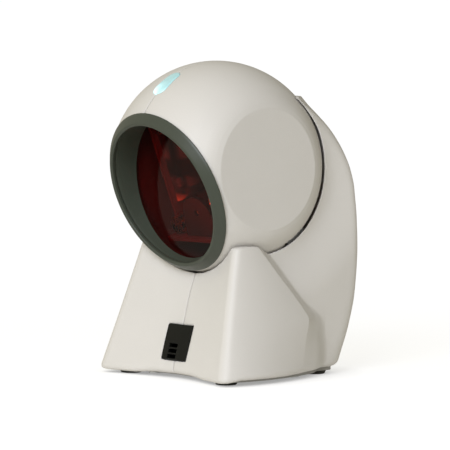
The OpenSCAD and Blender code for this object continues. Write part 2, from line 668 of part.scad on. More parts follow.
function shown(name) = node == "all" || node == name;
if (shown("base_shell_left")) base_shell_left();
if (shown("base_shell_right")) base_shell_right();
if (shown("base_plate")) base_plate();
if (shown("rubber_feet")) rubber_feet();
if (shown("base_screws")) base_screws();
if (shown("fixing_inserts")) fixing_inserts();
if (shown("ballast_weight")) ballast_weight();
if (shown("interface_board")) interface_board();
if (shown("cable_socket")) cable_socket();
if (shown("speaker")) speaker();
if (shown("switch_board")) switch_board();
if (shown("tilt_yoke")) tilt_yoke();
if (shown("yoke_screws")) yoke_screws();
if (shown("pivot_bushes")) pivot_bushes();
if (shown("tilt_cable")) tilt_cable();
if (shown("function_button")) function_button();
if (shown("head_shell_left")) head_shell_left();
if (shown("head_shell_right")) head_shell_right();
if (shown("window_ring")) window_ring();
if (shown("scan_window")) scan_window();
if (shown("lamp_lens")) lamp_lens();
if (shown("lamp_board")) lamp_board();
if (shown("optical_bench")) optical_bench();
if (shown("bench_screws")) bench_screws();
if (shown("collecting_mirror")) collecting_mirror();
if (shown("laser_module")) laser_module();
if (shown("fold_mirror")) fold_mirror();
if (shown("detector_board")) detector_board();
if (shown("left_mirror")) left_mirror();
if (shown("right_mirror")) right_mirror();
if (shown("rear_mirror")) rear_mirror();
if (shown("motor_board")) motor_board();
if (shown("motor_coils")) motor_coils();
if (shown("motor_bearing")) motor_bearing();
if (shown("motor_shaft")) motor_shaft();
if (shown("polygon_mirror")) polygon_mirror();
if (shown("main_board")) main_board();
if (shown("head_screws")) head_screws();
if (shown("pivot_screws")) pivot_screws();
if (shown("pivot_washers")) pivot_washers();
if (shown("friction_washers")) friction_washers();
if (shown("head_cable")) head_cable();
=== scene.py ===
"""A ball head with a round red window, which tilts in a two-part cradle base.

In the row frame +X is right, -Y is front, +Z is up, and the feet stand on z = 0. Forms are
in mm from the ball's centre; the head's own frame has the window towards -Y.
"""
import json
import math
from functools import reduce

import bpy
import numpy as np
from mathutils import Matrix, Vector


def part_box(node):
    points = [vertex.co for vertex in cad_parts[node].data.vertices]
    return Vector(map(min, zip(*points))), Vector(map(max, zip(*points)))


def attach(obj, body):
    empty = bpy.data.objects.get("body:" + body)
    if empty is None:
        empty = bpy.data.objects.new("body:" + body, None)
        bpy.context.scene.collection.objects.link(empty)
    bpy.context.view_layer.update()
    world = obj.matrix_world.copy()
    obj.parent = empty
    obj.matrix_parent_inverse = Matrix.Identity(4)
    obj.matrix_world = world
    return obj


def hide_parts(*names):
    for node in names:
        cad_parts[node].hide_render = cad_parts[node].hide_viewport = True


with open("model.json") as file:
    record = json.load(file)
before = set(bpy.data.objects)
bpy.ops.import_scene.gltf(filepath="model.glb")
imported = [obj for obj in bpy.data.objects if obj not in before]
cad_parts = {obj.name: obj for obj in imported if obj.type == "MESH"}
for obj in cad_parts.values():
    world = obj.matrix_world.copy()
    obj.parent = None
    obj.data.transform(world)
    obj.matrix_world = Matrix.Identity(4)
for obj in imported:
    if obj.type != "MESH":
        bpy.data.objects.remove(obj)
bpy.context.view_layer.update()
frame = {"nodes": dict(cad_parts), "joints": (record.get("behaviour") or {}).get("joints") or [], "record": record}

# ---------------------------------------------------------------- driving sizes, mm
MM = 0.001
JOINTS = {joint["name"]: joint for joint in frame["joints"]}
PIVOT = np.array(JOINTS["head_tilt"]["pos_m"], float) * 1000.0     # ball centre
HEAD_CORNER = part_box("head_shell_right")[1]
BALL_R = HEAD_CORNER.y * 1000.0 - PIVOT[1]
DISC_X = HEAD_CORNER.x * 1000.0            # the flat discs at the head's sides
SCALE = BALL_R / 50.0                      # the base is drawn for a ball of radius 50
BASE_WALL = 2.4
HEAD_WALL = 2.3
CRADLE_R = BALL_R + 1.05
CRADLE_WALL = 2.2

LOOK = math.radians(20.8)                  # the window looks down by this at rest
TILT = JOINTS["head_tilt"]["range_deg"][1]
ARM_ANGLE = 126.0                          # degrees down from the front, round the ball
ARM_X, ARM_HALF_WIDTH = 28.05, 3.25
ARM_PLAY = 11.5                            # slot beyond the arm's travel at both ends, degrees
HEAD_FRONT_Y = -31.3 * BALL_R / 50.5

PRESS = np.array(JOINTS["button_press"]["axis"], float)            # inwards
PANEL_TURN = math.atan2(PRESS[2], PRESS[1])
PANEL_CENTRE = np.array([0.0, -24.1 * SCALE, -81.3 * SCALE])
BUTTON_W, BUTTON_H = 18.5, 17.2
BUTTON_GAP = 0.22


# ---------------------------------------------------------------- form arithmetic
# A form is a function of x, y, z that is negative in the material.
def smoothstep(t):
    t = np.clip(t, 0.0, 1.0)
    return t * t * (3.0 - 2.0 * t)


def smooth_max(a, b, radius):
    blend = np.maximum(radius - np.abs(a - b), 0.0) / radius
    return np.maximum(a, b) + blend * blend * radius * 0.25


def smooth_min(a, b, radius):
    return -smooth_max(-a, -b, radius)


def overlap(*forms):
    return reduce(np.maximum, forms)


def table(pairs, smooth):
    """Curve through (station, value) pairs, averaged twice over +-smooth."""
    stations, values = np.array(pairs, float).T
    dense = np.linspace(stations[0], stations[-1], 801)
    curve = np.interp(dense, stations, values)
    reach = max(1, int(smooth / (dense[1] - dense[0])))
    kernel = np.ones(2 * reach + 1) / (2 * reach + 1)
    for _ in range(2):
        before = 2 * curve[0] - curve[reach:0:-1]
        after = 2 * curve[-1] - curve[-2:-reach - 2:-1]
        padded = np.concatenate([before, curve, after])
        curve = np.convolve(padded, kernel, mode="same")[reach:-reach]
    return dense, curve


def lookup(station, curve):
    return np.interp(station, *curve)


def turn(y, z, angle):
    """Coordinates of (y, z) in a frame that is turned by angle about X."""
    c, s = math.cos(angle), math.sin(angle)
    return y * c + z * s, -y * s + z * c


def rot_x(angle):
    c, s = math.cos(angle), math.sin(angle)
    return np.array([[1, 0, 0], [0, c, -s], [0, s, c]], float)


# ---------------------------------------------------------------- base form
# Columns: height z, value at that height; for a ball of radius 50.
FRONT_Y = table([
    (-98, -26.6), (-93.4, -26.2), (-81.4, -22.5), (-72.9, -19.8), (-63.4, -17.4),
    (-57.3, -15.6), (-49, -12.6), (-42.5, -10), (-33, -7)], 2.5)
# Crease between skirt and rear tower.
CREASE_X = table([
    (-98, 45), (-72, 42.8), (-63, 42), (-50, 39.8), (-38, 37.3), (-33, 36.2)], 2.5)
CREASE_Y = table([
    (-98, 15), (-80, 18.5), (-70, 21.8), (-63, 16.3), (-56, 10.8), (-50, 5.8),
    (-43, 0.6), (-38, -3.2), (-33, -7.2)], 2.5)
# How fast the skirt falls inwards behind the crease, and how much it bulges before it.
FALL = table([(-98, 0.36), (-84, 0.38), (-72, 0.6), (-62, 0.8), (-33, 0.8)], 2.5)
BELLY = table([(-98, 6), (-85, 4.8), (-70, 3.6), (-50, 2), (-38, 1.2), (-33, 0.8)], 2.5)
# Superellipse plan of the tower: depth, half width and power.
REAR_DEPTH = table([
    (-98, 54.4), (-92, 55.2), (-80, 56.8), (-63, 58.1), (-40, 58.7), (-22, 58.6),
    (-8, 57.9), (0, 56.6), (10.8, 53.5), (17.8, 50.4), (23.3, 47.6), (28.2, 44.4),
    (32.9, 40.6), (36.0, 37.7)], 1.6)
REAR_HALF_WIDTH = table([
    (-98, 39.3), (-92, 40), (-80, 42), (-63, 44.5), (-40, 46), (-20, 45.5), (0, 42),
    (10.8, 40), (17.8, 39), (23.3, 38.6), (28.2, 39.4), (32.9, 39.5), (36, 37.9)], 1.6)
REAR_POWER = table([
    (-98, 3.7), (-92, 4), (-86, 4.4), (-80, 5), (-72, 6), (-60, 7.6), (-40, 9.5),
    (-10, 9), (0, 7), (10.8, 4.8), (17.8, 3.8), (23.3, 2.9), (28.2, 2.25), (32.9, 2),
    (36, 2)], 1.6)
RIDGE_SOFTNESS = 4.5                       # ridge between front and skirt


def tower_form(across, y, z):
    """Rear tower with dished sides; across is the distance from the middle plane."""
    depth, half_width = lookup(z, REAR_DEPTH), lookup(z, REAR_HALF_WIDTH)
    power = lookup(z, REAR_POWER)
    flare = 3.0 * smoothstep((-62.0 - z) / 16.0) * np.clip((38.0 - y) / 24.0, 0.0, 1.2)
    inset = across - flare
    plan = (np.maximum(inset, 0.0) / half_width) ** power + (np.maximum(y, 0.0) / depth) ** power
    rear = (np.maximum(plan, 1e-9) ** (1.0 / power) - 1.0) * np.minimum(half_width, depth)
    dish = ((32.0 + 4.4 * smoothstep((np.sqrt(y * y + z * z) - 41.0) / 27.0))
            * (1.0 - 0.1 * smoothstep((-45.0 - z) / 55.0)))
    return smooth_max(rear, inset - dish, 3.0 - 1.9 * smoothstep((z - 20.0) / 8.0))


def skirt_forms(across, y, z):
    """Side skirt and front face, which meet at a corner that runs out and forward downwards."""
    corner_x = 35.3 + 0.179 * (-38.3 - z)
    corner_y = -19.05 - 0.281 * (-38.3 - z)
    crease_x, crease_y = lookup(z, CREASE_X), lookup(z, CREASE_Y)
    t = np.clip((y - corner_y) / (crease_y - corner_y), 0.0, 1.0)
    bulge = t ** 0.75
    skirt_x = (corner_x + (crease_x - corner_x) * t
               + lookup(z, BELLY) * 4.0 * bulge * (1.0 - bulge)
               - lookup(z, FALL) * np.maximum(0.0, y - crease_y)
               - 0.03 * np.maximum(0.0, y - crease_y - 10.0) ** 2)
    front_y = lookup(z, FRONT_Y)
    front = (front_y + (corner_y + 0.3 - front_y) * (across / corner_x) ** 1.4 - y) * 0.95
    return across - skirt_x, front


def base_open(across, y, z):
    """Outside of the base without its top and bottom, for a ball of radius 50."""
    tower = tower_form(across, y, z)
    skirt, front = skirt_forms(across, y, z)
    softness = (1.0 + 2.5 * smoothstep((-62.0 - z) / 14.0)
                + 4.5 * smoothstep((-74.0 - z) / 14.0) * (1.0 - smoothstep((y - 20.0) / 14.0)))
    tower_low = tower + 14.0 * smoothstep((lookup(z, CREASE_Y) - y) / 14.0)
    low = smooth_max(front, smooth_min(skirt, tower_low, softness), RIDGE_SOFTNESS)
    up = smoothstep((z + 36.4) / 5.0)
    return low * (1.0 - up) + smooth_max(tower, 2.0 - y, 1.0) * up


def seam(outer):
    """Half width of the joint between halves: a groove outside, closed by the lips inside."""
    return 0.02 + 0.28 * smoothstep((outer + 1.3) / 0.5)


def bottom_lift(across, y):
    """How far the bottom edge rises, for a ball of radius 50."""
    outboard = np.maximum(smoothstep((across - 38.0) / 8.0), smoothstep((y + 10.0) / 15.0))
    middle_front = 0.9 * (1.0 - smoothstep((across - 12.0) / 16.0))
    around = 1.5 * smoothstep((y + 35.0) / 12.0) + 0.6 * smoothstep(y / 30.0)
    return (1.0 - outboard) * middle_front + outboard * around


def button_hole(x, y, z):
    y, z = turn(y - PANEL_CENTRE[1], z - PANEL_CENTRE[2], PANEL_TURN)
    plan = smooth_max(np.abs(x) - BUTTON_W / 2 - BUTTON_GAP,
                      np.abs(z) - BUTTON_H / 2 - BUTTON_GAP, 0.7)
    return smooth_max(plan, np.abs(y - 2.0) - 8.0, 0.1)


def plug_hole(x, y, z):
    """Opening in the rear wall, centred 22.9 mm above the floor."""
    plan = smooth_max(np.abs(x) - 6.6, np.abs(z + PIVOT[2] - 22.9) - 4.3, 0.8)
    return np.maximum(plan, 30.0 - y)


def arm_hole(x, y, z):
    along, aside = turn(y, z, math.radians(ARM_ANGLE))
    return overlap(np.abs(x - ARM_X) - ARM_HALF_WIDTH, np.abs(aside) - 7.6,
                   np.abs(along + 42.0) - 20.0)


def base_half(x, y, z):
    """Right half of the base shell."""
    across, depth, height = np.abs(x) / SCALE, y / SCALE, z / SCALE
    side = SCALE * base_open(across, depth, height)
    lift = SCALE * bottom_lift(across, depth)
    radius = np.sqrt(x * x + y * y + z * z)
    outer = smooth_max(smooth_max(side, -97.1 * SCALE + lift - z, 3.4), z - 33.35 * SCALE, 0.35)
    cradle = CRADLE_R - 0.45 * smoothstep((height - 17.0) / 9.0) - radius
    outer = np.maximum(smooth_max(outer, cradle, 0.3), side + cradle + 0.35)
    cavity = overlap(side + BASE_WALL, CRADLE_R + CRADLE_WALL - radius, z - 5.0 * SCALE)
    shell = np.maximum(outer, -cavity)
    shell = smooth_max(shell, -button_hole(x, y, z), 0.3)
    shell = smooth_max(shell, -plug_hole(x, y, z), 0.35)
    shell = np.maximum(shell, -arm_hole(x, y, z))
    return smooth_max(shell, seam(outer) - x, 0.42)


# ---------------------------------------------------------------- head and lamp forms
# Columns: distance from the tilt axis, how far the side lies inside DISC_X.
DISC_DROP = table([
    (0, 0), (28.6, 0), (31.0, 0.85), (33.2, 1.95), (35.2, 3.2), (40.6, 7.5), (60, 26),
    (75, 41)], 0.28)
LAMP_ANGLE = math.radians(74.5)            # up from the window's axis
LAMP_OUT = (-math.cos(LAMP_ANGLE), math.sin(LAMP_ANGLE))           # y, z
LAMP_ALONG = (math.sin(LAMP_ANGLE), math.cos(LAMP_ANGLE))
LAMP_START, LAMP_LENGTH = -4.4, 8.6        # between the centres of its round ends
LAMP_R, LAMP_TAPER = 4.1, 0.4


def lamp_outline(x, y, z):
    """Distance from the lamp's rounded outline, and height along its axis."""
    height = y * LAMP_OUT[0] + z * LAMP_OUT[1]
    along = y * LAMP_ALONG[0] + z * LAMP_ALONG[1]
    t = np.clip((along - LAMP_START) / LAMP_LENGTH, 0.0, 1.0)
    radius = LAMP_R - LAMP_TAPER * t
    return np.sqrt(x * x + (along - (LAMP_START + LAMP_LENGTH * t)) ** 2) - radius, height


def lamp_form(x, y, z):
    outline, _ = lamp_outline(x, y, z)
    radius = np.sqrt(x * x + y * y + z * z)
    body = smooth_max(outline + 0.04, radius - (BALL_R + 0.25), 0.45)
    return np.maximum(body, (BALL_R - HEAD_WALL - 1.0) - radius)


def head_side(x, y, z):
    drop = lookup(np.sqrt(y * y + z * z), DISC_DROP)
    return (np.abs(x) - (DISC_X - drop)) * 0.93


def head_cavity(x, y, z):
    radius = np.sqrt(x * x + y * y + z * z)
    return overlap(radius - (BALL_R - HEAD_WALL), np.abs(x) - (DISC_X - HEAD_WALL),
                   head_side(x, y, z) + 1.35)


def arm_slot(x, y, z):
    """Slot that lets the head tilt past the arm; its angle runs from the front downwards."""
    angle = np.arctan2(-z, -y)
    angle = np.where(angle < -0.5, angle + 2 * math.pi, angle)
    start = math.radians(ARM_ANGLE) - LOOK - math.radians(ARM_PLAY)
    end = math.radians(ARM_ANGLE) - LOOK + math.radians(TILT + ARM_PLAY)
    from_axis = np.sqrt(y * y + z * z)
    return overlap(np.abs(np.abs(x) - ARM_X) - ARM_HALF_WIDTH,
                   np.maximum(start - angle, angle - end) * from_axis, 33.0 - from_axis)


def head_half(x, y, z):
    """Right half of the head shell."""
    radius = np.sqrt(x * x + y * y + z * z)
    outer = smooth_max(radius - BALL_R, head_side(x, y, z), 1.6)
    outer = smooth_max(outer, HEAD_FRONT_Y - y, 0.5)
    shell = np.maximum(outer, -head_cavity(x, y, z))
    outline, height = lamp_outline(x, y, z)
    shell = smooth_max(shell, -np.maximum(outline - 0.14, 30.0 - height), 0.3)
    shell = np.maximum(shell, -arm_slot(x, y, z))
    return smooth_max(shell, seam(outer) - x, 0.42)


# ---------------------------------------------------------------- button form
SLOT_PITCH = 2.65


def button_form(x, y, z):
    """Crowned button in the panel frame, where outwards is -Y."""
    plan = smooth_max(np.abs(x) - BUTTON_W / 2, np.abs(z) - BUTTON_H / 2, 1.0)
    crown = 0.00135 * (x * x + z * z)
    body = np.maximum(smooth_max(plan, crown - y, 0.55), y - 7.5)
    pocket = overlap(np.abs(x) - BUTTON_W / 2 + 1.6, np.abs(z + 2.2) - 5.0, 1.8 - y)
    body = np.maximum(body, -pocket)
    for i in range(3):
        slot = smooth_max(np.abs(x + 1.6) - 3.2, np.abs(z + 1.7 + SLOT_PITCH * i) - 0.95, 0.5)
        body = smooth_max(body, -np.maximum(slot, y - 6.0), 0.25)
    return body


# ---------------------------------------------------------------- mesher
# One vertex per crossed cell, on the true surface or its edge.
def gradient(form, points, reach=0.02):
    """Gradient at the points, and its direction."""
    slope = np.empty_like(points)
    for axis in range(3):
        offset = np.zeros(3)
        offset[axis] = reach
        slope[:, axis] = form(*(points + offset).T) - form(*(points - offset).T)
    slope /= 2 * reach
    size = np.linalg.norm(slope, axis=1, keepdims=True)
    return slope, slope / np.maximum(size, 1e-9)


def edge_crossings(form, axes, values, axis):
    """For each crossed grid edge along an axis: its four cells, crossing point and normal."""
    inside = values < 0
    lower, upper = [slice(None)] * 3, [slice(None)] * 3
    lower[axis], upper[axis] = slice(0, -1), slice(1, None)
    start = np.argwhere(inside[tuple(lower)] != inside[tuple(upper)])
    second, third = (axis + 1) % 3, (axis + 2) % 3
    for other in (second, third):
        start = start[(start[:, other] > 0) & (start[:, other] < values.shape[other] - 1)]
    end = start.copy()
    end[:, axis] += 1
    origin = np.stack([axes[i][start[:, i]] for i in range(3)], 1)
    span = axes[axis][end[:, axis]] - axes[axis][start[:, axis]]

    def point_at(t):
        points = origin.copy()
        points[:, axis] += t * span
        return points

    # Bracket each crossing by false position and bisection in turn.
    f0, f1 = values[tuple(start.T)], values[tuple(end.T)]
    leaves = f0 < 0
    t0, t1 = np.zeros(len(start)), np.ones(len(start))
    for step in range(5):
        if step % 2 == 0:
            t = t0 + (t1 - t0) * np.clip(f0 / (f0 - f1), 0.08, 0.92)
        else:
            t = 0.5 * (t0 + t1)
        middle = form(*point_at(t).T)
        same = (middle < 0) == (f0 < 0)
        t0, f0 = np.where(same, t, t0), np.where(same, middle, f0)
        t1, f1 = np.where(same, t1, t), np.where(same, f1, middle)
    points = point_at(t0 + (t1 - t0) * np.clip(f0 / (f0 - f1 + 1e-30), 0, 1))

    cells = []
    for step_second, step_third in ((-1, -1), (0, -1), (0, 0), (-1, 0)):
        cell = start.copy()
        cell[:, second] += step_second
        cell[:, third] += step_third
        cells.append(np.ravel_multi_index(tuple(cell.T), values.shape))
    cells = np.stack(cells, 1)
    cells[~leaves] = cells[~leaves][:, ::-1]
    return cells, points, gradient(form, points)[1]


def fit_vertices(axes, cell_ids, quads, points, normals):
    """Best meeting point of the tangent planes in each cell, and each cell's mean normal."""
    total = len(cell_ids)
    owner = quads.ravel()
    points, normals = np.repeat(points, 4, 0), np.repeat(normals, 4, 0)

    def gather(weights):
        return np.bincount(owner, weights, total)

    count = np.bincount(owner, minlength=total).astype(float)
    centroid = np.stack([gather(points[:, i]) for i in range(3)], 1) / count[:, None]
    mean = np.stack([gather(normals[:, i]) for i in range(3)], 1) / count[:, None]
    matrix = np.zeros((total, 3, 3))
    for i in range(3):
        for j in range(i, 3):
            matrix[:, i, j] = matrix[:, j, i] = gather(normals[:, i] * normals[:, j])
    plane = np.einsum("ij,ij->i", normals, points - centroid[owner])
    target = np.stack([gather(normals[:, i] * plane) for i in range(3)], 1)
    matrix += np.eye(3)[None] * (0.03 * count)[:, None, None]
    shift = np.linalg.solve(matrix, target[:, :, None])[:, :, 0]
    cell = np.unravel_index(cell_ids, [len(axis) for axis in axes])
    low = np.stack([axes[i][cell[i]] for i in range(3)], 1)
    high = np.stack([axes[i][np.minimum(cell[i] + 1, len(axes[i]) - 1)] for i in range(3)], 1)
    return np.clip(centroid + shift, low, high), mean


def corner_normals_of(form, verts, quads):
    """Normals sampled a little inside each quad's corners, or the face's where they disagree."""
    corner = verts[quads]
    centre = corner.mean(1, keepdims=True)
    _, normals = gradient(form, (corner * 0.84 + centre * 0.16).reshape(-1, 3))
    face = np.cross(corner[:, 2] - corner[:, 0], corner[:, 3] - corner[:, 1])
    face /= np.maximum(np.linalg.norm(face, axis=1, keepdims=True), 1e-12)
    face = np.repeat(face, 4, 0)
    wrong = (normals * face).sum(1) < 0.2
    normals[wrong] = face[wrong]
    return normals


def mesh_form(form, *axes):
    """Vertices, quads and corner normals of the surface form = 0 on a rectilinear grid."""
    values = np.broadcast_to(form(*np.ix_(*axes)), [len(axis) for axis in axes])
    found = [edge_crossings(form, axes, values, axis) for axis in range(3)]
    cells, points, normals = (np.concatenate(part) for part in zip(*found))
    cell_ids, inverse = np.unique(cells.ravel(), return_inverse=True)
    quads = inverse.reshape(-1, 4)
    verts, mean = fit_vertices(axes, cell_ids, quads, points, normals)
    # Vertices away from edges are drawn onto the surface.
    smooth = np.linalg.norm(mean, axis=1) > 0.97
    longest = 0.5 * (axes[0][1] - axes[0][0])
    for _ in range(2):
        near = verts[smooth]
        slope, _unit = gradient(form, near)
        value = form(*near.T)
        step = slope * (value / np.maximum((slope * slope).sum(1), 0.05))[:, None]
        size = np.linalg.norm(step, axis=1, keepdims=True)
        verts[smooth] = near - step * np.minimum(1.0, longest / np.maximum(size, 1e-9))
    return verts, quads, corner_normals_of(form, verts, quads)


def grid(low, high, step):
    return np.arange(low, high + step, step)


# ---------------------------------------------------------------- mesh objects
# Places: rotation and offset that take mm points to the row frame.
AT_BALL = (np.eye(3), PIVOT)
IN_HEAD = (rot_x(LOOK), PIVOT)
IN_PANEL = (rot_x(PANEL_TURN), PIVOT + PANEL_CENTRE)
MIRROR_X = np.array([-1.0, 1.0, 1.0])


def add_mesh(name, verts, quads, normals=None, place=None, flip=False):
    """Smooth mesh from mm points; flip mirrors it to the left."""
    verts, quads = np.array(verts, float), np.array(quads)
    if normals is not None:
        normals = np.array(normals, float).reshape(-1, 4, 3)
    if flip:
        verts = verts * MIRROR_X
        quads = quads[:, ::-1]
        normals = (normals * MIRROR_X)[:, ::-1]
    if place is not None:
        rotation, offset = place
        verts = verts @ rotation.T + offset
        if normals is not None:
            normals = normals @ rotation.T
    mesh = bpy.data.meshes.new(name)
    mesh.from_pydata((verts * MM).tolist(), [], quads.tolist())
    mesh.polygons.foreach_set("use_smooth", np.ones(len(mesh.polygons), bool))
    if normals is not None:
        mesh.normals_split_custom_set(normals.reshape(-1, 3).tolist())
    mesh.update()
    obj = bpy.data.objects.new(name, mesh)
    bpy.context.scene.collection.objects.link(obj)
    return obj


def lathe(name, profile_at, steps, place=None):
    """Closed ring; profile_at(angle) gives equally many (x, y, z) points at each angle."""
    loops = [profile_at(2 * math.pi * i / steps) for i in range(steps)]
    size = len(loops[0])
    quads = []
    for i in range(steps):
        here, there = i * size, (i + 1) % steps * size
        for j in range(size):
            after = (j + 1) % size
            quads.append((here + j, here + after, there + after, there + j))
    return add_mesh(name, [point for loop in loops for point in loop], quads, place=place)


def rounded(profile, radii, steps):
    """Closed 2-D profile with each corner rounded by its own radius."""
    points = []
    for i, radius in enumerate(radii):
        corner = np.array(profile[i], float)
        if radius <= 0:
            points.append(tuple(corner))
            continue
        to_last = np.array(profile[i - 1], float) - corner
        to_next = np.array(profile[(i + 1) % len(profile)], float) - corner
        last_size, next_size = np.linalg.norm(to_last), np.linalg.norm(to_next)
        radius = min(radius, 0.45 * last_size, 0.45 * next_size)
        start = corner + to_last / last_size * radius
        end = corner + to_next / next_size * radius
        for t in np.linspace(0, 1, steps + 1):
            points.append(tuple((1 - t) ** 2 * start + 2 * t * (1 - t) * corner + t * t * end))
    return points


def smooth_by_angle(obj, degrees):
    mesh = obj.data
    mesh.polygons.foreach_set("use_smooth", np.ones(len(mesh.polygons), bool))
    mesh.set_sharp_from_angle(angle=math.radians(degrees))


# ---------------------------------------------------------------- shader builder
class Shader:
    """Node tree of a material or world. Input names are given with _ for a space."""

    def __init__(self, owner, output_kind):
        owner.use_nodes = True
        self.tree = owner.node_tree
        self.tree.nodes.clear()
        self.output = self.tree.nodes.new(output_kind)
        self.coords = self.node("TexCoord").outputs

    def feed(self, socket, value):
        if isinstance(value, bpy.types.NodeSocket):
            self.tree.links.new(value, socket)
        else:
            socket.default_value = value

    def node(self, kind, *ordered, operation=None, **named):
        node = self.tree.nodes.new("ShaderNode" + kind)
        if operation:
            node.operation = operation
        for i, value in enumerate(ordered):
            self.feed(node.inputs[i], value)
        for key, value in named.items():
            self.feed(node.inputs[key.replace("_", " ")], value)
        return node

    def noise(self, scale, detail=2.0, rough=0.5):
        return self.node("TexNoise", Scale=scale, Detail=detail, Roughness=rough,
                         Vector=self.coords["Object"]).outputs["Fac"]

    def voronoi(self, scale):
        return self.node("TexVoronoi", Scale=scale,
                         Vector=self.coords["Object"]).outputs["Distance"]

    def remap(self, value, to=(0.0, 1.0), span=(0.3, 0.7)):
        """Takes the span of value to another range, clamped."""
        return self.node("MapRange", From_Min=span[0], From_Max=span[1], To_Min=to[0],
                         To_Max=to[1], Value=value).outputs["Result"]

    def mix(self, factor, first, second):
        node = self.node("Mix")
        node.data_type = "RGBA"
        for i, value in ((0, factor), (6, first), (7, second)):
            self.feed(node.inputs[i], value)
        return node.outputs[2]

    def maths(self, operation, a, b=0.0, c=0.0):
        return self.node("Math", a, b, c, operation=operation).outputs[0]

    def bump(self, height, strength, distance, **base):
        return self.node("Bump", Strength=strength, Distance=distance, Height=height,
                         **base).outputs["Normal"]

    def bevel(self, radius):
        node = self.node("Bevel", Radius=radius)
        node.samples = 4
        return node.outputs["Normal"]

    def finish(self, node):
        self.tree.links.new(node.outputs[0], self.output.inputs["Surface"])


MATERIALS = {}


def new_material(name):
    MATERIALS[name] = bpy.data.materials.new(name)
    return Shader(MATERIALS[name], "ShaderNodeOutputMaterial")


def scaled(colour, factor):
    return tuple(min(1, part * factor) for part in colour[:3]) + (1.0,)


# ---------------------------------------------------------------- materials
def plastic(name, colour, rough, grain=2600.0, grain_depth=0.00002, vary=0.05, specular=0.5,
            bevel=0.0003, cavity_shade=None):
    """Moulded plastic with grain and faint flow marks; the optional colour is painted shade on the head's marked
    inside.
    """
    sh = new_material(name)
    flow = sh.noise(scale=38.0, detail=3.0, rough=0.55)
    fine = sh.noise(scale=grain, rough=0.6)
    speck = sh.voronoi(scale=grain * 0.55)
    tone = sh.mix(sh.remap(flow, span=(0.25, 0.75)),
                  scaled(colour, 1 - vary), scaled(colour, 1 + vary * 0.6))
    tone = sh.mix(sh.remap(fine, to=(0.0, 0.22), span=(0.35, 0.75)), tone, scaled(colour, 0.86))
    if cavity_shade:
        # Painted shade: surfaces marked as the head's cavity take the dark colour.
        inside = sh.node("Attribute")
        inside.attribute_name = "cavity_shade"
        tone = sh.mix(inside.outputs["Fac"], tone, cavity_shade)
    height = sh.maths("ADD", fine, sh.maths("MULTIPLY", speck, 0.5))
    base = {"Normal": sh.bevel(bevel)} if bevel else {}
    sh.finish(sh.node(
        "BsdfPrincipled", Base_Color=tone, Roughness=sh.remap(flow, to=(rough - 0.03, rough + 0.04)),
        Normal=sh.bump(height, strength=0.35, distance=grain_depth, **base),
        Specular_IOR_Level=specular))


def metal(name, colour, rough, scale=900.0, metallic=1.0):
    """Metal with fine grain and cloudy tone."""
    sh = new_material(name)
    grain = sh.noise(scale=scale, detail=3.0, rough=0.6)
    cloud = sh.noise(scale=45.0, detail=3.0, rough=0.6)
    sh.finish(sh.node(
        "BsdfPrincipled",
        Base_Color=sh.mix(sh.remap(cloud), scaled(colour, 0.88), scaled(colour, 1.12)),
        Normal=sh.bump(grain, strength=0.3, distance=0.00002),
        Roughness=sh.remap(grain, to=(rough - 0.06, rough + 0.1)), Metallic=metallic))


def board(name, colour):
    """Solder resist with traces under it and small gold pads."""
    sh = new_material(name)
    line = sh.remap(sh.voronoi(scale=420.0), span=(0.10, 0.16))
    tone = sh.mix(line, scaled(colour, 1.9), colour)
    pads = sh.noise(scale=760.0, detail=0.0)
    gold = sh.remap(pads, span=(0.71, 0.74))
    sh.finish(sh.node(
        "BsdfPrincipled", Base_Color=sh.mix(gold, tone, (0.55, 0.42, 0.2, 1)),
        Roughness=sh.remap(pads, to=(0.3, 0.42)), Metallic=sh.maths("MULTIPLY", gold, 0.8),
        Normal=sh.bump(line, strength=0.4, distance=0.00003)))


def mirror(name, colour, haze=0.06):
    sh = new_material(name)
    dust = sh.noise(scale=210.0, detail=4.0, rough=0.6)
    sh.finish(sh.node(
        "BsdfPrincipled", Metallic=0.95, Roughness=sh.remap(dust, to=(haze, haze + 0.06)),
        Base_Color=sh.mix(sh.remap(dust, span=(0.35, 0.8)), colour, scaled(colour, 0.9))))


def red_window(name):
    """Clear red filter: a thin tinted pane that mirrors the room a little."""
    sh = new_material(name)
    haze = sh.noise(scale=60.0, detail=3.0, rough=0.6)
    tint = sh.node("BsdfTransparent",
                   Color=sh.mix(haze, (0.84, 0.42, 0.40, 1), (0.86, 0.45, 0.43, 1)))
    gloss = sh.node("BsdfGlossy", Color=(1, 1, 1, 1), Roughness=sh.remap(haze, to=(0.015, 0.04)))
    fresnel = sh.node("Fresnel", IOR=1.45).outputs[0]
    front_side = sh.maths("SUBTRACT", 1.0, sh.node("NewGeometry").outputs["Backfacing"])
    mirrored = sh.maths("MULTIPLY", sh.maths("MULTIPLY", fresnel, 0.4), front_side)
    sh.finish(sh.node("MixShader", mirrored, tint.outputs[0], gloss.outputs[0]))


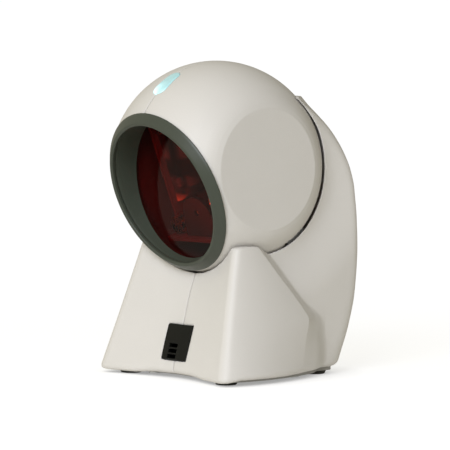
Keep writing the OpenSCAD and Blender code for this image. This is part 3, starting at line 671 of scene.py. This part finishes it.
def lamp_lens(name):
    """Light pipe: pale cyan, glowing brightest at its front end, with a painted highlight towards the left."""
    sh = new_material(name)
    x, y, z = sh.node("SeparateXYZ", sh.coords["Object"]).outputs
    # Place along the lamp from the ball centre, in metres, with the head at rest.
    direction = rot_x(LOOK) @ np.array([0.0, *LAMP_ALONG])
    along = sh.maths("ADD", sh.maths("MULTIPLY", y, float(direction[1])),
                     sh.maths("MULTIPLY", z, float(direction[2])))
    along = sh.maths("SUBTRACT", along, float(PIVOT @ direction) * MM)
    glow = sh.remap(along, to=(1.0, 0.0), span=(-0.0078, 0.0020))
    # Painted highlight: the emission rises towards the pipe's left side; the glow towards its front end is the
    # lamp's own light.
    side = sh.remap(x, to=(1.0, 0.22), span=(-0.0028, 0.0012))
    light = sh.maths("MULTIPLY", sh.maths("MULTIPLY", sh.maths("POWER", glow, 2.0), side), 1.5)
    cloud = sh.noise(scale=300.0)
    sh.finish(sh.node(
        "BsdfPrincipled",
        Base_Color=sh.mix(sh.remap(cloud), (0.40, 0.74, 0.80, 1), (0.50, 0.84, 0.89, 1)),
        Roughness=sh.remap(cloud, to=(0.16, 0.24)), Coat_Weight=0.6, Coat_Roughness=0.08,
        Emission_Color=(0.62, 0.95, 1.0, 1), Emission_Strength=sh.maths("ADD", 0.10, light)))


# The dark second colour is painted shade inside the head's cavity.
plastic("cream_plastic", (0.735, 0.715, 0.685, 1), rough=0.47, specular=0.42, vary=0.018,
        cavity_shade=(0.12, 0.112, 0.11, 1))
plastic("black_plastic", (0.022, 0.022, 0.022, 1), rough=0.5)
plastic("grey_plastic", (0.36, 0.35, 0.33, 1), rough=0.5, vary=0.06)
plastic("button_plastic", (0.0062, 0.0066, 0.0052, 1), rough=0.42, grain=2100.0,
        grain_depth=0.00003, vary=0.12, specular=0.13)
plastic("ring_plastic", (0.058, 0.068, 0.051, 1), rough=0.38, grain=2300.0,
        grain_depth=0.000015, vary=0.07, specular=0.38, bevel=0.0)
plastic("bench_plastic", (0.15, 0.055, 0.055, 1), rough=0.55, vary=0.15, bevel=0.0)
plastic("natural_plastic", (0.72, 0.70, 0.62, 1), rough=0.5, vary=0.04)
plastic("black_rubber", (0.04, 0.038, 0.035, 1), rough=0.78, grain=1500.0,
        grain_depth=0.00005, vary=0.2)
plastic("cable_jacket", (0.02, 0.02, 0.022, 1), rough=0.55, vary=0.1)
metal("zinc_steel", (0.60, 0.61, 0.63, 1), rough=0.34)
metal("spring_steel", (0.45, 0.45, 0.47, 1), rough=0.26)
metal("cast_weight", (0.12, 0.12, 0.125, 1), rough=0.55, scale=500.0)
metal("die_cast", (0.42, 0.43, 0.45, 1), rough=0.45, scale=1200.0)
metal("brass", (0.72, 0.5, 0.2, 1), rough=0.28)
metal("dark_metal", (0.05, 0.05, 0.055, 1), rough=0.4, metallic=0.4)
board("circuit_board", (0.018, 0.11, 0.05, 1))
metal("copper_wire", (0.6, 0.25, 0.1, 1), rough=0.3, scale=1500.0)
mirror("mirror", (0.80, 0.83, 0.86, 1))
plastic("mirror_back", (0.05, 0.05, 0.055, 1), rough=0.3, vary=0.1, bevel=0.0)
red_window("red_window")
lamp_lens("lamp_lens")


def paint(obj, material):
    obj.data.materials.clear()
    obj.data.materials.append(MATERIALS[material])


def install(obj, material, joint, replaced=None):
    """Paints a piece, ties it to the part it moves with, and hides the CAD piece it replaces."""
    paint(obj, material)
    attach(obj, joint)
    if replaced:
        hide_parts(replaced)


# ---------------------------------------------------------------- pieces
def dress_cad_pieces():
    slots = {part["node"]: part["material_slot"] for part in frame["record"]["subparts"]}
    for name, obj in frame["nodes"].items():
        paint(obj, slots.get(name, "black_plastic"))
        smooth_by_angle(obj, 30)


def mark_cavity_shade(obj, verts):
    """Marks the head's cavity for its painted shade; verts are in the head frame."""
    mark = obj.data.attributes.new("cavity_shade", "FLOAT", "POINT")
    mark.data.foreach_set("value", (head_cavity(*verts.T) < 0.45).astype(np.float32))


def build_covers():
    step = 0.7
    start_x = -0.55 * step
    base = mesh_form(base_half, grid(start_x, 54.0, step),
                     grid(-37.5 * SCALE, 60.4 * SCALE, step),
                     grid(-98.4 * SCALE, 36.6 * SCALE, step))
    head = mesh_form(head_half, grid(start_x, DISC_X + 1.6, step),
                     grid(HEAD_FRONT_Y - 1.5, BALL_R + 1.5, step),
                     grid(-BALL_R - 1.5, BALL_R + 1.5, step))
    for side, flip in (("right", False), ("left", True)):
        cover = add_mesh("base_cover_" + side, *base, AT_BALL, flip)
        install(cover, "cream_plastic", "base", "base_shell_" + side)
        cover = add_mesh("head_cover_" + side, *head, IN_HEAD, flip)
        mark_cavity_shade(cover, head[0])
        install(cover, "cream_plastic", "head", "head_shell_" + side)


def build_lamp():
    step = 0.35
    lamp = mesh_form(lamp_form, grid(-5.2, 5.2, step), grid(-24.0, -4.0, step),
                     grid(42.0, BALL_R + 1.2, step))
    install(add_mesh("lamp_pipe", *lamp, IN_HEAD), "lamp_lens", "head", "lamp_lens")


def build_button():
    step = 0.33
    button = mesh_form(button_form, grid(-10.1, 10.1, step), grid(-1.1, 8.6, step),
                       grid(-9.4, 9.4, step))
    install(add_mesh("press_button", *button, IN_PANEL), "button_plastic", "button",
            "function_button")


# Window ring: rolled rim, and a deep well that ends at the leaning pane.
PANE_LEAN = math.radians(11.5)
PANE_R = 35.0
RING_R = 36.5
# Columns: radius, distance in front of the ball centre.
RIM = rounded([(RING_R, 31.42), (39.9, 31.42), (40.1, 31.75), (39.6, 32.5), (36.7, 35.1),
               (36.1, 35.5), (35.35, 35.45), (34.75, 35.0), (34.62, 33.4)],
              [0, 0.1, 0.25, 0.5, 0.5, 0.3, 0.28, 0.3, 0.8], steps=4)


def ring_profile(angle):
    c, s = math.cos(angle), math.sin(angle)
    pane_front = 22.3 - PANE_R * s * math.tan(PANE_LEAN)
    back, seat = pane_front - 1.75, pane_front + 0.1
    well = [(34.55, 31.0), (34.42, max(seat + 0.5, 24.0)), (34.36, seat + 0.3),
            (34.34, seat), (35.31, seat), (35.31, back), (RING_R, back)]
    return [(radius * c, -forward, radius * s) for radius, forward in RIM + well]


def build_ring():
    ring = lathe("window_bezel", ring_profile, 256, IN_HEAD)
    smooth_by_angle(ring, 40)
    install(ring, "ring_plastic", "head", "window_ring")


def build_feet():
    """Turned pads with a rolled lower edge and a shallow recess underneath."""
    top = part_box("rubber_feet")[1].z * 1000.0
    points = np.array([vert.co for vert in frame["nodes"]["rubber_feet"].data.vertices]) * 1000.0
    corners = [(side_x, side_y) for side_x in (-1, 1) for side_y in (-1, 1)]
    for i, (side_x, side_y) in enumerate(corners):
        part = points[(points[:, 0] * side_x > 0) & (points[:, 1] * side_y > 0)]
        low, high = part.min(0), part.max(0)
        centre, foot_r = (low + high) / 2, (high[0] - low[0]) / 2
        profile = rounded([(0.4, 0.35), (foot_r - 3.0, 0.35), (foot_r - 2.4, 0.0),
                           (foot_r - 0.7, 0.0), (foot_r - 0.1, top * 0.5), (foot_r, top),
                           (0.4, top)], [0, 0.2, 0.2, 0.5, 0.3, 0.15, 0], steps=3)
        foot = lathe("foot_pad_%d" % (i + 1), lambda angle: [
            (centre[0] + radius * math.cos(angle), centre[1] + radius * math.sin(angle), z)
            for radius, z in profile], 64)
        smooth_by_angle(foot, 35)
        install(foot, "black_rubber", "base", "rubber_feet" if i == 0 else None)


dress_cad_pieces()
build_covers()
build_lamp()
build_button()
build_ring()
build_feet()

# ---------------------------------------------------------------- studio
# View axes: BACK points from the ball to the camera.
AZIMUTH, ELEVATION = math.radians(50.847), math.radians(3.29)
BACK = np.array([math.sin(AZIMUTH) * math.cos(ELEVATION),
                 -math.cos(AZIMUTH) * math.cos(ELEVATION), math.sin(ELEVATION)])
RIGHT = np.array([math.cos(AZIMUTH), math.sin(AZIMUTH), 0.0])
UP = np.cross(BACK, RIGHT)

WHITE = (1, 1, 1, 1)
BACKDROP_STRENGTH = 1.02                   # as the camera sees it
AMBIENT, AMBIENT_STRENGTH = (1.0, 0.94, 0.745, 1), 0.455
# How the room's light changes with direction.
AMBIENT_SLOPE = -0.60 * RIGHT + 0.20 * BACK + np.array([0.0, 0.0, -0.10])
FLOOR_HALF, FLOOR_CELLS = 3200, 24
FLOOR_LIFT = 0.77                          # light added where the camera sees the floor
FLOOR_BOUNCE = 0.12                        # light added for all other rays


def floor_material(name):
    """Near floor turns into backdrop with distance; camera and other rays differ."""
    sh = new_material(name)
    mark = sh.noise(scale=25.0)
    distance = sh.node("VectorMath", sh.coords["Object"], operation="LENGTH").outputs["Value"]
    far = sh.remap(distance, span=(0.12, 0.5))
    seen = sh.node("LightPath").outputs["Is Camera Ray"]
    tone = sh.mix(sh.remap(mark), (0.85, 0.85, 0.85, 1), (0.87, 0.87, 0.87, 1))
    matte = sh.node("BsdfDiffuse", Color=sh.mix(seen, tone, (0.45, 0.45, 0.45, 1)))
    # The added light fades close to the feet and base.
    contact = sh.node("AmbientOcclusion", Distance=0.02)
    contact.samples = 8
    fade = sh.maths("MULTIPLY", sh.maths("POWER", contact.outputs["AO"], 0.5), 0.60)
    open_sky = sh.maths("ADD", 0.40, fade)
    lift = sh.node("Emission", Color=WHITE, Strength=sh.maths(
        "MULTIPLY", sh.maths("MULTIPLY", seen, open_sky), FLOOR_LIFT))
    near = sh.node("AddShader", matte.outputs[0], lift.outputs[0])
    bounce = sh.node("Emission", Color=AMBIENT,
                     Strength=sh.remap(seen, to=(FLOOR_BOUNCE, 0.0), span=(0, 1)))
    near = sh.node("AddShader", near.outputs[0], bounce.outputs[0])
    glow = sh.node("Emission", Color=sh.mix(seen, AMBIENT, WHITE), Strength=sh.remap(
        seen, to=(AMBIENT_STRENGTH, BACKDROP_STRENGTH), span=(0, 1)))
    sh.finish(sh.node("MixShader", far, near.outputs[0], glow.outputs[0]))


def build_floor():
    """Square floor whose cells are finest in the middle."""
    lines = [(i / FLOOR_CELLS - 0.5) * 2 for i in range(FLOOR_CELLS + 1)]
    verts = [(FLOOR_HALF * x * abs(x), FLOOR_HALF * y * abs(y), 0.0)
             for y in lines for x in lines]
    row = FLOOR_CELLS + 1
    quads = [(i, i + 1, i + row + 1, i + row)
             for j in range(FLOOR_CELLS) for i in range(j * row, j * row + FLOOR_CELLS)]
    floor = add_mesh("studio_floor", verts, quads)
    floor_material("studio_floor")
    paint(floor, "studio_floor")
    return floor


def build_world():
    """White to the camera; a warm fill that varies with direction to all other rays."""
    world = bpy.data.worlds.new("studio")
    bpy.context.scene.world = world
    sh = Shader(world, "ShaderNodeOutputWorld")
    seen = sh.node("LightPath").outputs["Is Camera Ray"]
    backdrop, fill = (
        sh.node("Background", Color=colour, Strength=strength)
        for colour, strength in ((WHITE, BACKDROP_STRENGTH), (AMBIENT, AMBIENT_STRENGTH)))
    slope = sh.node("VectorMath", sh.coords["Generated"],
                    tuple(float(part) for part in AMBIENT_SLOPE), operation="DOT_PRODUCT")
    sh.feed(fill.inputs["Strength"], sh.maths(
        "MULTIPLY_ADD", slope.outputs["Value"], AMBIENT_STRENGTH, AMBIENT_STRENGTH))
    sh.finish(sh.node("MixShader", seen, fill.outputs[0], backdrop.outputs[0]))


def build_key_light():
    """Square light above and left of the camera's line, aimed at the ball."""
    centre = PIVOT * MM
    place = centre + (-0.26 * RIGHT + 0.34 * UP + 0.90 * BACK) * 1.15
    data = bpy.data.lights.new("key_light", "AREA")
    data.shape = "RECTANGLE"
    data.size = data.size_y = 0.55
    data.energy = 7.3
    data.color = (0.965, 1.0, 1.12)
    light = bpy.data.objects.new("key_light", data)
    bpy.context.scene.collection.objects.link(light)
    light.location = Vector(place)
    aim = Vector(centre) - Vector(place)
    light.rotation_euler = aim.to_track_quat("-Z", "Y").to_euler()
    light.visible_camera = False
    return light


def build_camera():
    data = bpy.data.cameras.new("camera")
    data.sensor_width = 36.0
    data.lens = 254.88
    data.clip_start, data.clip_end = 0.05, 20.0
    camera = bpy.data.objects.new("camera", data)
    bpy.context.scene.collection.objects.link(camera)
    place = (PIVOT + SCALE * (4.10 * RIGHT - 27.36 * UP + 1500.0 * BACK)) * MM
    camera.matrix_world = Matrix((*zip(RIGHT, UP, BACK, place), (0, 0, 0, 1)))
    bpy.context.scene.camera = camera
    return camera


build_world()
key_light = build_key_light()
build_floor()
build_camera()

scene = bpy.context.scene
scene.view_settings.view_transform = "Standard"
scene.view_settings.look = "None"
scene.cycles.max_bounces = 12
scene.cycles.transparent_max_bounces = 12
